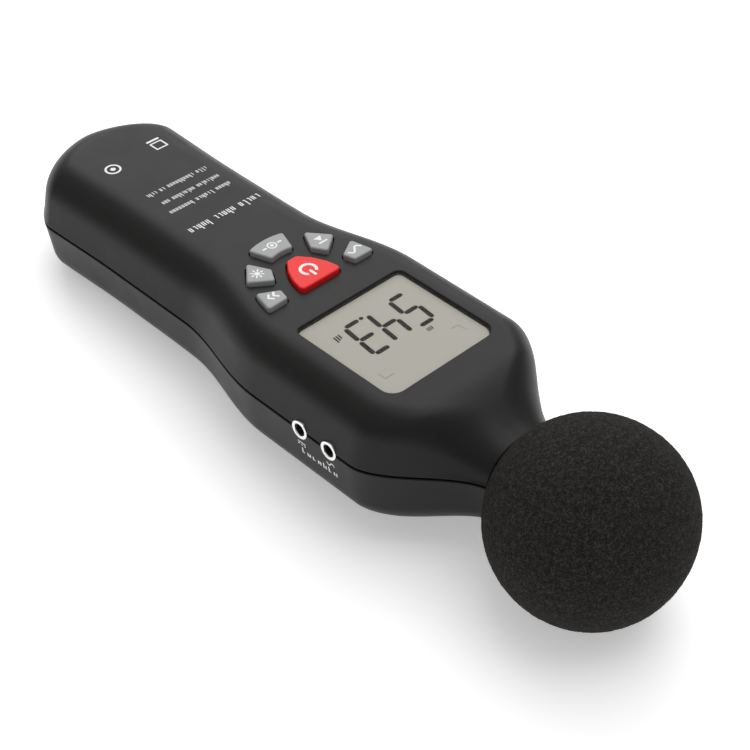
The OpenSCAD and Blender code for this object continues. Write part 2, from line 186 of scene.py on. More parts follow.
M = {
    "case_plastic": material("case_plastic", (0.0105, 0.0103, 0.0099), rough=0.4, rough_vary=0.03,
                             mottle=0.06, bump=0.012, grain_mm=0.3, specular=0.22),
    "clear_window": material("clear_window", (0.2, 0.2, 0.19), rough=0.06, rough_vary=0.02, alpha=0.06,
                             bump=0.001, grain_mm=6),
    "lcd": material("lcd", (0.46, 0.44, 0.378), rough=0.5, mottle=0.03, bump=0.004),
    "segment": material("segment", (0.012, 0.009, 0.008), rough=0.6, mottle=0.15, specular=0.05),
    "ghost": material("ghost", (0.33, 0.315, 0.267), rough=0.5, mottle=0.05),
    "diffuser": material("diffuser", (0.8, 0.8, 0.76), rough=0.5),
    "white_plastic": material("white_plastic", (0.72, 0.72, 0.68), rough=0.5),
    "elastomer": material("elastomer", (0.06, 0.08, 0.12), rough=0.8),
    "board": material("board", (0.01, 0.1, 0.04), rough=0.3, mottle=0.3, mottle_mm=2),
    "chip_plastic": material("chip_plastic", (0.02, 0.02, 0.02), rough=0.6),
    "steel": material("steel", (0.6, 0.6, 0.6), rough=0.3, metal=1),
    "blue_plastic": material("blue_plastic", (0.03, 0.1, 0.4), rough=0.35),
    "jack_plastic": material("jack_plastic", (0.012, 0.012, 0.012), rough=0.35),
    "bright_ring": material("bright_ring", (0.93, 0.93, 0.92), rough=0.25, metal=1, mottle=0.04, mottle_mm=2),
    "aluminium": material("aluminium", (0.75, 0.75, 0.76), rough=0.32, metal=1, mottle=0.05),
    "soft_rubber": material("soft_rubber", (0.02, 0.02, 0.02), rough=0.8),
    "foam": foam_material(),
    "brass": material("brass", (0.7, 0.5, 0.2), rough=0.3, metal=1),
    "battery_jacket": material("battery_jacket", (0.35, 0.36, 0.38), rough=0.3, mottle=0.06),
    "jacket_band": material("jacket_band", (0.02, 0.022, 0.03), rough=0.35, mottle=0.06),
    "pad": material("pad", (0.05, 0.05, 0.05), rough=0.9, bump=0.15, grain_mm=0.6, sheen=0.4),
    "red_key": material("red_key", (0.86, 0.02, 0.016), specular=0.3, rough=0.38, mottle=0.05, bump=0.006),
    "grey_key": material("grey_key", (0.33, 0.334, 0.34), rough=0.4, mottle=0.06, bump=0.006),
    "screw_steel": material("screw_steel", (0.35, 0.35, 0.35), rough=0.35, metal=1),
    "ink": material("ink", (0.85, 0.85, 0.84), rough=0.5, mottle=0.05, mottle_mm=3),
}


# ---------------------------------------------------------------- mesh tools
def mesh_object(name, verts, faces, slot_name, smooth_deg=32):
    """A mesh piece from millimetre points, welded, with outward normals."""
    mesh = bpy.data.meshes.new(name)
    mesh.from_pydata([(x * MM, y * MM, z * MM) for x, y, z in verts], [], faces)
    work = bmesh.new()
    work.from_mesh(mesh)
    bmesh.ops.remove_doubles(work, verts=work.verts, dist=1e-6)
    bmesh.ops.dissolve_degenerate(work, edges=work.edges, dist=1e-6)
    bmesh.ops.recalc_face_normals(work, faces=work.faces)
    work.to_mesh(mesh)
    work.free()
    made = bpy.data.objects.new(name, mesh)
    bpy.context.scene.collection.objects.link(made)
    mesh.materials.append(M[slot_name])
    made["smooth_deg"] = smooth_deg
    return made


def loft(rings, close=True, caps=(True, True)):
    """Vertices and faces of a surface through rings that have the same number of points."""
    n = len(rings[0])
    verts = [tuple(p) for ring in rings for p in ring]
    span = n if close else n - 1
    faces = [(i * n + k, i * n + (k + 1) % n, (i + 1) * n + (k + 1) % n, (i + 1) * n + k)
             for i in range(len(rings) - 1) for k in range(span)]
    if caps[0]:
        faces.append(tuple(range(n)))
    if caps[1]:
        faces.append(tuple((len(rings) - 1) * n + k for k in range(n)))
    return verts, faces


def merged(*parts):
    """One vertex and face list from several."""
    verts, faces = [], []
    for v, f in parts:
        faces += [tuple(i + len(verts) for i in face) for face in f]
        verts += v
    return verts, faces


def combine(target, tool, how="DIFFERENCE"):
    """Boolean of two closed pieces; the tool is used up."""
    step = target.modifiers.new("step", "BOOLEAN")
    step.operation, step.solver, step.object = how, "MANIFOLD", tool
    shape = bpy.data.meshes.new_from_object(
        target.evaluated_get(bpy.context.evaluated_depsgraph_get()))
    target.modifiers.clear()
    old, target.data = target.data, shape
    bpy.data.meshes.remove(old)
    bpy.data.objects.remove(tool)


def finished(piece, body, slot_name, *stands_for):
    """Smooths the shading, keeps flat faces flat, and hands the piece to its body."""
    mesh = piece.data
    mesh.shade_smooth()
    mesh.set_sharp_from_angle(angle=math.radians(piece["smooth_deg"]))
    level = piece.modifiers.new("flat_faces", "WEIGHTED_NORMAL")
    level.keep_sharp = True
    level.weight = 80
    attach(piece, body)
    if stands_for:
        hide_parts(*stands_for)
    return piece


def arc(centre, r, start, end, steps):
    return [(centre[0] + r * math.cos(math.radians(start + (end - start) * k / steps)),
             centre[1] + r * math.sin(math.radians(start + (end - start) * k / steps)))
            for k in range(steps + 1)]


def rounded(corners, radii, steps=6):
    """Closed outline with each corner turned into an arc of its own radius."""
    count = len(corners)
    radii = radii if isinstance(radii, (list, tuple)) else [radii] * count
    out = []
    for i in range(count):
        a, b, c = (np.array(corners[j % count], float) for j in (i - 1, i, i + 1))
        if radii[i] <= 0:
            out.append(tuple(b))
            continue
        u, v = (a - b) / np.linalg.norm(a - b), (c - b) / np.linalg.norm(c - b)
        half = math.acos(max(-1, min(1, float(u @ v)))) / 2
        middle = b + (u + v) / np.linalg.norm(u + v) * radii[i] / math.sin(half)
        s = b + u * radii[i] / math.tan(half) - middle
        e = b + v * radii[i] / math.tan(half) - middle
        for k in range(steps + 1):
            q = s * (steps - k) + e * k
            out.append(tuple(middle + q / np.linalg.norm(q) * radii[i]))
    return out


def slab(low, high, r):
    """Rectangle from low to high with rounded corners."""
    return rounded([(low[0], low[1]), (high[0], low[1]), (high[0], high[1]), (low[0], high[1])], r)


def spread(outline, g):
    """Outline with every point moved outwards by g along its normal."""
    p = np.array(outline)
    along = np.roll(p, -1, 0) - np.roll(p, 1, 0)
    normal = np.stack([along[:, 1], -along[:, 0]], 1)
    normal /= np.linalg.norm(normal, axis=1)[:, None]
    area = np.sum(p[:, 0] * np.roll(p[:, 1], -1) - p[:, 1] * np.roll(p[:, 0], -1))
    return [tuple(q) for q in p + normal * g * math.copysign(1, area)]


def stack(outline, profile, axis="Z"):
    """Solid with one section for each (g, t) of the profile: the outline spread by g at t on the axis."""
    def point(u, v, t):
        return {"Z": (u, v, t), "Y": (u, t, v), "X": (t, u, v)}[axis]

    return loft([[point(u, v, t) for u, v in spread(outline, g)] for g, t in profile])


def capsule(a, b, r, steps=5):
    """Outline of a bar with round ends from a to b."""
    heading = math.degrees(math.atan2(b[1] - a[1], b[0] - a[0]))
    return arc(b, r, heading - 90, heading + 90, steps) + arc(a, r, heading + 90, heading + 270, steps)


def soft_box(low, high, r, n):
    """Box with rounded edges and n quads along each side of every face."""
    low, high = np.array(low, float), np.array(high, float)
    middle_point, half = (low + high) / 2, (high - low) / 2
    verts, faces = cube_sphere(n, 1, (0, 0, 0))
    out = []
    for v in verts:
        v = np.array(v)
        v = np.arctan(v / np.abs(v).max()) / (math.pi / 4) * half
        core = np.clip(v, -(half - r), half - r)
        away = v - core
        out.append(tuple(middle_point + core + away / max(np.linalg.norm(away), 1e-9) * r))
    return out, faces


def lathe(profile, centre, axis="Y", segments=64):
    """Solid of revolution from (radius, position along the axis) points; off the axis it closes on itself."""
    rings = []
    for r, t in profile:
        ring = []
        for k in range(segments):
            a = 2 * math.pi * k / segments
            u, v = r * math.cos(a), r * math.sin(a)
            if axis == "Y":
                ring.append((centre[0] + u, centre[1] + t, centre[2] + v))
            elif axis == "X":
                ring.append((centre[0] + t, centre[1] + u, centre[2] + v))
            else:
                ring.append((centre[0] + u, centre[1] + v, centre[2] + t))
        rings.append(ring)
    on_axis = profile[0][0] < 1e-6 and profile[-1][0] < 1e-6
    if not on_axis:
        rings.append(rings[0])
    return loft(rings, caps=(False, False))


def bell(g, low, top, flare):
    """Profile of a cutter that leaves a rounded edge of radius flare where it meets the face at top."""
    turn = [(g + flare - flare * math.cos(math.radians(a)), top - flare + flare * math.sin(math.radians(a)))
            for a in range(0, 81, 16)]
    slope = flare * (1 - math.sin(math.radians(80)))
    out = turn[-1][0] + 3 * slope / math.tan(math.radians(10))
    return [(g, low)] + turn + [(out, top + 2 * slope), (out, top + 2)]


# ---------------------------------------------------------------- case
def ease(a, b, t):
    u = max(0.0, min(1.0, t))
    return a + (b - a) * u * u * (3 - 2 * u)


def side_w(y):
    """Half width of the case on the parting plane, without its rounded rear end."""
    if y < -60:
        return ease(HANDLE_W, WAIST_W, (y + 100) / 40) / 2
    if y < 30:
        return ease(WAIST_W, HEAD_W, (y + 24) / 40) / 2
    return ease(HEAD_W, NECK_W, (y - 57) / 36) / 2


def end_w(y):
    u = max(0.0, REAR_Y + END_L - y) / END_L
    return max(0.0, 1 - u ** END_N) ** (1 / END_N)


def front_h(y):
    return ease(FACE_Z - PARTING_Z, MIC_Z - PARTING_Z + side_w(NECK_Y), (y - 70) / 22)


def rear_h(y):
    return ease(PARTING_Z, PARTING_Z - MIC_Z + side_w(NECK_Y), (y - 66) / 24)


def skin_profile(y, side, shrink, rim):
    """(inset, height) points from the rim up the leaning wall and round the edge to the face."""
    w = side_w(y) - shrink
    h = (front_h(y) if side > 0 else rear_h(y)) - shrink
    t = (y + 40) / 50
    edge = ease(HANDLE_FRONT_R, FRONT_R, t) if side > 0 else ease(HANDLE_BACK_R, BACK_R, t)
    flat = w - LEAN * 1.3 - 0.5
    r = max(0.6, min(edge - shrink, flat, h - 0.3))
    across = ease(r, flat, (y - 70) / 14) if side > 0 else r
    slope = LEAN / max(h - r, MIN_EDGE_RISE)
    start = math.atan(slope * r / across)
    wall_top = h - r + r * math.sin(start)
    foot = slope * wall_top - across * (1 - math.cos(start))
    climb = [(slope * z, z) for z in np.linspace(rim[-1][1], wall_top, 5)[1:-1]]
    turn = [(foot + across - across * math.cos(a), h - r + r * math.sin(a))
            for a in np.linspace(start, math.pi / 2, 17)]
    inner = min(1.2, (w - foot - across) * 0.5)
    return rim + climb + turn + [(foot + across + inner, h)]


def section(y, side, shrink, rim):
    """Closed section of one half of the case at station y."""
    tail = 1 - min(1.0, (y - REAR_Y) / END_L)
    points = []
    for d, z in skin_profile(y, side, shrink, rim):
        inset = d + shrink
        points.append(((side_w(y) - inset) * end_w(y), y + inset * tail, PARTING_Z + side * z))
    return points + [(-x, yy, z) for x, yy, z in reversed(points)]


def stations(last):
    tail = [REAR_Y + END_L * (1 - math.cos(a) ** (2 / END_N)) for a in np.linspace(0, math.pi / 2, 30)]
    handle = list(np.arange(REAR_Y + END_L + 3, -28, 3.5))
    head = list(np.arange(-28, last - 1.2, 1.5))
    return tail + handle + head


NOSE_H = 14


def half_case(name, side, shrink, rim, last, nose_r=0.0):
    """Closed half of the case as far as station last, where its edge is rounded by nose_r."""
    rings = [section(y, side, shrink, rim) for y in stations(last - nose_r)]
    for a in np.linspace(0, math.pi / 2, 5):
        y = last - nose_r * (1 - math.sin(a))
        cut = nose_r * (1 - math.cos(a))
        rings.append([(x * (1 - cut / side_w(y)), yy, PARTING_Z + (z - PARTING_Z) * (1 - cut / NOSE_H))
                      for x, yy, z in section(y, side, shrink, rim)])
        if nose_r == 0:
            break
    return mesh_object(name, *loft(rings, caps=(False, True)), "case_plastic")


RIM_GAP = 0.36
RIM_R = 0.35
rim_turn = [(RIM_R * (1 - math.sin(a)), RIM_GAP + RIM_R * (1 - math.cos(a)))
            for a in np.linspace(0, math.pi / 2, 5)]
FRONT_RIM = [(0.95, 1.0), (0.95, RIM_GAP)] + rim_turn
REAR_RIM = [(1.05, -0.7), (1.05, RIM_GAP)] + rim_turn


def cutter(verts_faces):
    return mesh_object("cutter", *verts_faces, "case_plastic")


def box_part(x, y, z):
    ring = [(x[0], y[0]), (x[1], y[0]), (x[1], y[1]), (x[0], y[1])]
    return loft([[(a, b, c) for a, b in ring] for c in z])


def window_outline(g=0.0):
    w, (y0, y1) = WINDOW_X + g, WINDOW_Y
    radii = [2.2 + g, 2.2 + g, 4.2 + g, 4.2 + g]
    return rounded([(-w, y0 - g), (w, y0 - g), (w, y1 + g), (-w, y1 + g)], radii, 8)


# Key outlines about the centre of the fan
POWER = [(8.1, 5.6), (7, 0.2), (5, -4.2), (1.9, -8.2), (-1.9, -8.2), (-5, -4.2), (-7, 0.2), (-8.1, 5.6)]
POWER_RADII = [1.5, 8, 8, 1.6, 1.6, 8, 8, 1.5]
RESPONSE = [(12.3, 1.2), (19.1, -2.7), (21, 5.6), (13.4, 5.4)]
BACKLIGHT = [(7.8, -8.2), (11.5, -15.7), (17.4, -8.4), (10.6, -3.4)]
RECORD_R = (12.9, 21.1)
RECORD_HALF = 19


def key_outline(key):
    """Outline of a key on the face, with rounded corners."""
    if key == "power":
        flat = rounded(POWER, POWER_RADII)
    elif key == "record":
        outer = arc((0, 0), RECORD_R[1], -90 - RECORD_HALF, -90 + RECORD_HALF, 8)
        inner = arc((0, 0), RECORD_R[0], -90 + RECORD_HALF, -90 - RECORD_HALF, 6)
        radii = [0.9] + [0] * 7 + [0.9, 0.9] + [0] * 5 + [0.9]
        flat = rounded(outer + inner, radii)
    else:
        base = RESPONSE if key in ("response", "weighting") else BACKLIGHT
        if key in ("weighting", "maximum"):
            base = [(-x, y) for x, y in reversed(base)]
        flat = rounded(base, 0.9)
    return [(x, y + FAN_Y) for x, y in flat]


def middle(outline):
    xs, ys = zip(*outline)
    return (min(xs) + max(xs)) / 2, (min(ys) + max(ys)) / 2


CASE_SCREWS = [(15, -38), (-15, -38), (12.5, 67.5), (-12.5, 67.5)]
CUT_LOW = FACE_Z - WALL - 1


def front_shell():
    """Front half: hollow, with the window, the key holes and half of each round seat."""
    shell = half_case("front_shell_skin", 1, 0, FRONT_RIM, NECK_Y, 0.5)
    combine(shell, half_case("hollow", 1, WALL, [(0, -3.0)], COLLAR_Y))
    combine(shell, cutter(stack(window_outline(), bell(0, CUT_LOW, FACE_Z, 0.5))))
    for key in KEY_NAMES:
        combine(shell, cutter(stack(key_outline(key), bell(KEY_GAP, CUT_LOW, FACE_Z, 0.3))))
    socket_seats(shell)
    collar_seat(shell)
    return finished(shell, "meter", "case_plastic", "front_shell")


def collar_seat(shell):
    """Bore in the neck for the microphone's rubber collar."""
    combine(shell, cutter(lathe([(0, -9), (COLLAR_R, -9), (COLLAR_R, 9), (0, 9)], (0, COLLAR_Y + 2, MIC_Z))))


def socket_seats(shell):
    """Seats for the two bright rings on the parting plane."""
    for low, high in RING_BOXES.values():
        centre = (high[0], (low[1] + high[1]) / 2, PARTING_Z)
        seat = [(0, -9), (RING_R + RING_GAP, -9), (RING_R + RING_GAP, 3), (0, 3)]
        combine(shell, cutter(lathe(seat, centre, "X")))


def rear_shell():
    """Rear half: hollow, with the battery bay, the door's recess, the screw posts and the tripod boss."""
    shell = half_case("rear_shell_skin", -1, 0, REAR_RIM, NECK_Y, 0.5)
    hollow = half_case("hollow", -1, WALL, [(0, -3.0)], COLLAR_Y)
    low, high = node_box("battery")
    bx, by, bay_top = high[0] + BAY_GAP, (low[1] - BAY_GAP, BAY_FRONT), high[2] + BAY_GAP
    combine(hollow, cutter(box_part((-bx - BAY_WALL, bx + BAY_WALL), (by[0] - BAY_WALL, by[1] + BAY_WALL),
                                    (0.5, bay_top + BAY_WALL))))
    for x, y in CASE_SCREWS:
        combine(hollow, cutter(lathe([(0, 0.5), (3.5, 0.5), (3.5, 24), (0, 24)], (x, y, 0), "Z", 32)))
    combine(hollow, cutter(lathe([(0, 0.5), (7, 0.5), (7, 10), (0, 10)], (0, 0, 0), "Z")))
    combine(shell, hollow)
    combine(shell, cutter(box_part((-bx, bx), by, (-1, bay_top))))
    recess = slab((-DOOR_HALF, DOOR_LOW[1] - DOOR_GAP), (DOOR_HALF, DOOR_HIGH[1] + DOOR_GAP), DOOR_R)
    combine(shell, cutter(stack(recess, [(0, DOOR_HIGH[2] + 0.2), (0, 0.3), (0.3, 0), (0.6, -1)])))
    hole = [(0, -1), (2.9, -1), (2.9, 0), (2.6, 0.3), (2.6, 5), (1.5, 5), (1.5, 22), (0, 22)]
    for x, y in CASE_SCREWS:
        combine(shell, cutter(lathe(hole, (x, y, 0), "Z", 40)))
    bush = [(0, -1), (INSERT_R, -1), (INSERT_R, INSERT_L), (0, INSERT_L)]
    combine(shell, cutter(lathe(bush, (0, 0, 0), "Z")))
    collar_seat(shell)
    socket_seats(shell)
    return finished(shell, "meter", "case_plastic", "rear_shell")


front_shell()
rear_shell()


# ---------------------------------------------------------------- keys
BEVEL = 0.55


def key_piece(key):
    """Key cap with a rounded top edge, its flange under the face and its stem."""
    outline = key_outline(key)
    plastic = "red_key" if key == "power" else "grey_key"
    low = node_box(key + "_key")[0][2]
    flange_z = FACE_Z - WALL - 0.1
    turn = [(-BEVEL + BEVEL * math.cos(a), KEY_TOP - BEVEL + BEVEL * math.sin(a))
            for a in np.linspace(0, math.pi / 2, 5)]
    profile = [(0.8, flange_z - 0.9), (0.8, flange_z), (0, flange_z)] + turn + [(-BEVEL - 0.3, KEY_TOP)]
    c = middle(outline)
    length = flange_z - 0.9 - low + 0.3
    stem = lathe([(0, 0), (1.6, 0), (1.6, length), (0, length)], (c[0], c[1], low), "Z", 24)
    piece = mesh_object(key + "_key_cap", *stack(outline, profile), plastic, 25)
    combine(piece, mesh_object("stem", *stem, "grey_key"), "UNION")
    return finished(piece, key + "_key", plastic, key + "_key")


for key_name in KEY_NAMES:
    key_piece(key_name)


# ---------------------------------------------------------------- sockets
def socket(name):
    """Bright ring, black sleeve inside it and two contact springs."""
    low, high = RING_BOXES[name]
    centre = (high[0], (low[1] + high[1]) / 2, PARTING_Z)
    ring = [(2.35, -3.8), (RING_R, -3.8), (RING_R, -0.2), (RING_R - 0.06, -0.06), (RING_R - 0.2, 0),
            (2.3, 0), (2.14, -0.06), (2.05, -0.2), (2.05, -0.45), (2.35, -0.55)]
    piece = mesh_object(name + "_socket_ring", *lathe(ring, centre, "X", 96), "bright_ring", 40)
    finished(piece, "meter", "bright_ring", name + "_jack_ring")
    sleeve = [(1.82, -6.5), (2.28, -6.5), (2.28, -0.75), (2.15, -0.62), (1.95, -0.62), (1.82, -0.75)]
    finished(mesh_object(name + "_socket_sleeve", *lathe(sleeve, centre, "X", 64), "jack_plastic", 40),
             "meter", "jack_plastic")
    leaves = []
    for turn in (-0.5, 0.9):
        c, d = math.cos(turn), math.sin(turn)
        outline = [(-6.3, 1.78), (-2.6, 1.3), (-1.7, 1.25), (-1.0, 1.55), (-1.0, 1.74), (-1.8, 1.44),
                   (-2.6, 1.48), (-6.3, 1.8)]
        rings = [[(centre[0] + t, centre[1] + u * c - w * d, centre[2] - u * d - w * c) for t, u in outline]
                 for w in (-0.45, 0.45)]
        leaves.append(loft(rings))
    springs = mesh_object(name + "_contact_springs", *merged(*leaves), "bright_ring", 40)
    finished(springs, "meter", "bright_ring")


socket("dc")
socket("ac")


# ---------------------------------------------------------------- foam ball
def cube_sphere(n, r, centre):
    verts, faces, index = [], [], {}

    def vertex(p):
        if p not in index:
            index[p] = len(verts)
            v = Vector([math.tan(c / n * math.pi / 4) for c in p]).normalized()
            verts.append((centre[0] + v.x * r, centre[1] + v.y * r, centre[2] + v.z * r))
        return index[p]

    for axis in range(3):
        for sign in (-n, n):
            for i in range(-n, n, 2):
                for j in range(-n, n, 2):
                    quad = []
                    for a, b in ((i, j), (i + 2, j), (i + 2, j + 2), (i, j + 2)):
                        p = [a, b]
                        p.insert(axis, sign)
                        quad.append(vertex(tuple(p)))
                    faces.append(tuple(quad))
    return verts, faces


FOAM_SWELL = 0.4
FOAM_FLATTEN = 0.03


def windscreen():
    """Foam ball with a flat seat, a blind bore and a slightly uneven, slightly flattened skin."""
    seat = NECK_Y + 0.3
    skin = cube_sphere(112, BALL_R + FOAM_SWELL, (0, BALL_Y, MIC_Z))
    ball = mesh_object("windscreen_foam", *skin, "foam", 180)
    combine(ball, cutter(box_part((-40, 40), (50, seat), (-30, 60))))
    bore = [(0, -5), (MIC_R + 0.3, -5), (MIC_R + 0.3, 24.5), (0, 24.5)]
    combine(ball, cutter(lathe(bore, (0, seat, MIC_Z))))
    centre = Vector((0, BALL_Y, MIC_Z)) * MM
    for v in ball.data.vertices:
        if v.co.y > centre.y:
            ahead = v.co.y - centre.y
            v.co.y = centre.y + ahead * (1 - FOAM_FLATTEN * (ahead / (BALL_R * MM)) ** 2)
        away = v.co - centre
        if away.length > (BALL_R - 2) * MM:
            p = v.co / MM
            rough = 0.12 * noise.noise(p * 0.9) + 0.13 * noise.noise(p * 1.9 + Vector((7, 3, 1)))
            v.co += away.normalized() * rough * MM
    finished(ball, "windscreen", "foam", "windscreen")


windscreen()


# ---------------------------------------------------------------- display
def plate_edges(g, low, high, cut):
    """Profile of a plate with chamfered edges, spread by g."""
    return [(g - cut, low), (g, low + cut), (g, high - cut), (g - cut, high)]


def display():
    """LCD glass with its raised front part, and the clear cover in the mouth of the window."""
    plate_top = FACE_Z - WALL - 0.1
    raised = [(-0.25, plate_top - 0.4)] + plate_edges(-0.25, plate_top - 0.3, LCD_HIGH[2], 0.08)[2:]
    panel = mesh_object("lcd_panel", *stack(window_outline(), raised), "lcd", 30)
    back_glass = stack(slab(LCD_LOW, LCD_HIGH, 0.8), plate_edges(0, LCD_LOW[2], plate_top, 0.1))
    combine(panel, mesh_object("back_glass", *back_glass, "lcd"), "UNION")
    finished(panel, "meter", "lcd", "lcd_glass")
    cover = stack(window_outline(), plate_edges(-LENS_GAP, LENS_LOW[2], LENS_HIGH[2], 0.12))
    lens = mesh_object("display_cover", *cover, "clear_window", 30)
    finished(lens, "meter", "clear_window", "display_lens")


DIGIT_W, DIGIT_H, DIGIT_SLANT, DIGIT_GAP = 2.95, 7.25, 0.112, 1.2
STROKES = {"a": ("TL", "TR"), "b": ("TR", "MR"), "c": ("MR", "BR"), "d": ("BL", "BR"), "e": ("ML", "BL"),
           "f": ("TL", "ML"), "g": ("ML", "MR")}
ENDS = {"TL": (-1, 1), "TR": (1, 1), "ML": (-1, 0), "MR": (1, 0), "BL": (-1, -1), "BR": (1, -1)}


def digit(x, y, strokes):
    """Outlines of the lit strokes of one seven-segment figure centred at x, y."""
    bars = []
    for stroke in strokes:
        ends = [ENDS[e] for e in STROKES[stroke]]
        a, b = (np.array([x + u * DIGIT_W + v * DIGIT_H * DIGIT_SLANT, y + v * DIGIT_H]) for u, v in ends)
        along = (b - a) / np.linalg.norm(b - a) * DIGIT_GAP
        bars.append(capsule(tuple(a + along), tuple(b - along), 0.78))
    return bars


def printed(name, outlines, z, body="meter", slot_name="ink", thick=0.03):
    """Thin raised marks on a flat face at height z; marks that overlap get different heights."""
    tops = [z + thick + 0.005 * (i % 4) for i in range(len(outlines))]
    parts = [stack(o, [(0, z - 0.01), (0, top - 0.01), (-0.02, top)]) for o, top in zip(outlines, tops)]
    return finished(mesh_object(name, *merged(*parts), slot_name, 30), body, slot_name)


display()
digit_y = (WINDOW_Y[0] + WINDOW_Y[1]) / 2 - 4.7
figures = digit(-10.9, digit_y, "afgcd") + digit(-2.0, digit_y, "fgbc") + digit(6.9, digit_y, "abgcd")
figures.append(capsule((2.3, digit_y - DIGIT_H), (2.5, digit_y - DIGIT_H), 0.65))
unit_marks = [capsule((12.3 + k, digit_y - 6.2), (12.5 + k, digit_y - 4.6 + 0.4 * k), 0.24)
              for k in (0, 0.9, 1.8)]
mode_marks = [capsule((-9.6 + k, digit_y + 9.3), (-9.4 + k, digit_y + 10.5), 0.2) for k in (0, 0.8, 1.6)]
printed("lcd_figures", figures + unit_marks + mode_marks, LCD_HIGH[2], slot_name="segment", thick=0.04)
ghosts = [capsule((-15.6, 49.8), (-15.9, 52.6), 0.2), capsule((-15.6, 49.8), (-13.2, 49.8), 0.2),
          capsule((12.5, 52.3), (15.8, 52.3), 0.2), capsule((15.8, 52.3), (15.8, 49.6), 0.2)]
printed("lcd_idle_marks", ghosts, LCD_HIGH[2], slot_name="ghost", thick=0.03)


# ---------------------------------------------------------------- printed marks
def ring_marks(x, y, r, width, start=0, end=360, steps=28):
    """Outline of a ring, or of part of one, as a bent bar."""
    if end - start >= 360:
        half = [ring_marks(x, y, r, width, a, a + 181, steps)[0] for a in (start, start + 180)]
        return half
    outer = arc((x, y), r + width / 2, start, end, steps)
    inner = arc((x, y), r - width / 2, end, start, steps)
    return [outer + inner]


def disc(x, y, r):
    return arc((x, y), r, 0, 345, 23)


def polyline(points, r):
    return [capsule(a, b, r) for a, b in zip(points, points[1:])]


def key_legends():
    """A plain symbol on each key."""
    fan = FAN_Y
    printed("power_symbol", ring_marks(0, fan - 0.5, 2.45, 0.95, 128, 412) +
            [capsule((0, fan + 0.4), (0, fan + 2.7), 0.45)], KEY_TOP, "power_key")
    record = ring_marks(0, fan - 17, 1.4, 0.5) + [disc(0, fan - 17, 0.65)]
    record += [capsule((x - 0.5, fan - 17), (x + 0.5, fan - 17), 0.36) for x in (-2.9, 2.9)]
    printed("record_symbol", record, KEY_TOP, "record_key")
    x, y = middle(key_outline("maximum"))
    arrow = [rounded([(x - 1.5, y - 1.2), (x + 1.5, y - 1.2), (x, y + 1)], 0.2),
             capsule((x - 1.4, y + 1.75), (x + 1.4, y + 1.75), 0.34)]
    printed("maximum_symbol", arrow, KEY_TOP, "maximum_key")
    x, y = middle(key_outline("backlight"))
    rays = [capsule(*((x + r * math.cos(a), y + r * math.sin(a)) for r in (1.25, 1.95)), 0.26)
            for a in np.arange(8) * math.pi / 4]
    printed("backlight_symbol", rays + [disc(x, y, 0.85)], KEY_TOP, "backlight_key")
    x, y = middle(key_outline("weighting"))
    wave = [(x + t, y + 0.2 + 1.1 * math.sin(t * 1.25)) for t in np.linspace(-2.5, 2.5, 11)]
    printed("weighting_symbol", polyline(wave, 0.34), KEY_TOP, "weighting_key")
    x, y = middle(key_outline("response"))
    chevrons = []
    for k in (-1.2, 0.7):
        chevrons += polyline([(x + k - 0.5, y - 1), (x + k + 0.5, y + 0.2), (x + k - 0.5, y + 1.4)], 0.34)
    printed("response_symbol", chevrons, KEY_TOP, "response_key")


key_legends()
random = np.random.default_rng(7)


def greeked(x0, x1, y, height, words):
    """Row of small upright bars, grouped like words, with no letters in it."""
    pitch = (x1 - x0) / (sum(words) + len(words) - 1)
    bars, x = [], x0
    for word in words:
        for _ in range(word):
            short = height * 0.66
            tall = height if random.random() < 0.3 else short
            r = pitch * 0.115
            bars.append(capsule((x + pitch * 0.2, y + r), (x + pitch * 0.2, y + tall - r), r))
            kind = random.random()
            if kind < 0.75:
                bars.append(capsule((x + pitch * 0.62, y + r), (x + pitch * 0.62, y + short - r), r))
            if kind > 0.35:
                level = y + (short - r if kind < 0.7 else r)
                bars.append(capsule((x + pitch * 0.36, level), (x + pitch * 0.48, level), r * 0.8))
            x += pitch
        x += pitch
    return bars


printed("title_row", greeked(-16.1, 12.4, -39.5, 3.4, [5, 5, 5]), FACE_Z)
rows = greeked(-14, 10.4, -51, 2.3, [5, 6, 8]) + greeked(-14, 9, -56.6, 2.3, [9, 9, 3])
printed("detail_rows", rows + greeked(-14, 10.4, -62.9, 2.3, [4, 10, 2, 4]), FACE_Z)
corner_marks = ring_marks(8.3, -82.1, 2.4, 0.7) + [disc(8.3, -82.1, 0.9)]
tag = [(-13.4, -85), (-13.4, -81.2), (-9.2, -81.2), (-9.2, -85), (-13.4, -85)]
tag_bar = capsule((-13.4, -86.6), (-9.2, -86.6), 0.45)
printed("corner_marks", corner_marks + polyline(tag, 0.28) + [tag_bar], FACE_Z)


def side_marks(name, outlines):
    """Marks on the leaning side of the rear shell: outlines are along the case and up from the back."""
    drop = PARTING_Z - BACK_R
    parts = []
    for i, outline in enumerate(outlines):
        rings = [[(side_w(y) - LEAN * (PARTING_Z - z) / drop + out, y, z) for y, z in outline]
                 for out in (-0.02, 0.03 + 0.005 * (i % 4))]
        parts.append(loft(rings))
    finished(mesh_object(name, *merged(*parts), "ink", 30), "meter", "ink")


dc_y, ac_y = (sum(node_box(n + "_jack_ring")[k][1] for k in (0, 1)) / 2 for n in ("dc", "ac"))
dc_marks = [capsule((dc_y - 1.5, 14.9), (dc_y + 1.5, 14.9), 0.2)]
dc_marks += [capsule((dc_y + k - 0.2, 14.0), (dc_y + k + 0.2, 14.0), 0.2) for k in (-1.3, 0, 1.3)]
ac_wave = [(ac_y + t, 14.5 + 0.7 * math.sin(t * 2.1)) for t in np.linspace(-1.5, 1.5, 11)]
side_marks("socket_symbols", dc_marks + polyline(ac_wave, 0.2))
side_marks("socket_row", greeked(dc_y - 0.5, ac_y + 3, 10.7, 2.2, [7]))


